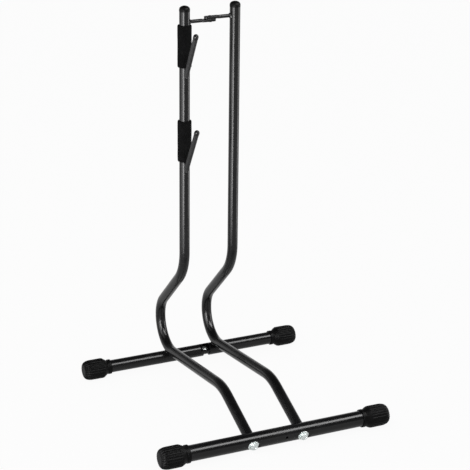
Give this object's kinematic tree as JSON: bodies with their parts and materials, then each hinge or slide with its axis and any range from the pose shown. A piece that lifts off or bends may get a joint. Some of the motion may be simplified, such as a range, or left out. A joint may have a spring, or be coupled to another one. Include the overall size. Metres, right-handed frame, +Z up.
{
  "type": "floor bike rack",
  "caption": "Black steel floor rack that holds one bicycle by a wheel, with foam sleeves, two hooks and ribbed end caps.",
  "frame": {"origin": "on the floor, under the middle of the rack", "axes": "+X to the right along the two bars, +Y to the rear of the rack, where the large bends are, +Z up"},
  "size_m": [0.466, 0.4713, 0.7654],
  "materials": {
    "black_paint": "semi-gloss black powder coat",
    "hook_coating": "satin dark grey",
    "vinyl": "dipped vinyl, glossy",
    "foam": "closed-cell foam, matte",
    "plug_plastic": "moulded, soft gloss",
    "foot_plastic": "ribbed moulding, satin",
    "zinc": "bright zinc plate"
  },
  "bodies": {
    "root": {"left_bent_tube": "black_paint", "right_bent_tube": "black_paint", "front_bar": "black_paint", "rear_bar_left": "black_paint", "rear_bar_right": "black_paint", "left_link_rod": "black_paint", "right_link_rod": "black_paint", "left_link_weld": "black_paint", "right_link_weld": "black_paint", "left_rear_weld": "black_paint", "right_rear_weld": "black_paint", "upper_hook_weld": "black_paint", "lower_hook_weld": "black_paint", "link_rivet": "black_paint", "upper_hook": "hook_coating", "lower_hook": "hook_coating", "upper_hook_tip": "vinyl", "lower_hook_tip": "vinyl", "upper_foam_sleeve": "foam", "lower_foam_sleeve": "foam", "left_tube_plug": "plug_plastic", "right_tube_plug": "plug_plastic", "front_left_foot": "foot_plastic", "front_right_foot": "foot_plastic", "rear_left_foot": "foot_plastic", "rear_right_foot": "foot_plastic", "left_bolt": "zinc", "right_bolt": "zinc", "left_washer": "zinc", "right_washer": "zinc", "left_end_insert": "zinc", "right_end_insert": "zinc", "rear_bar_rivet": "zinc"}
  },
  "joints": []
}
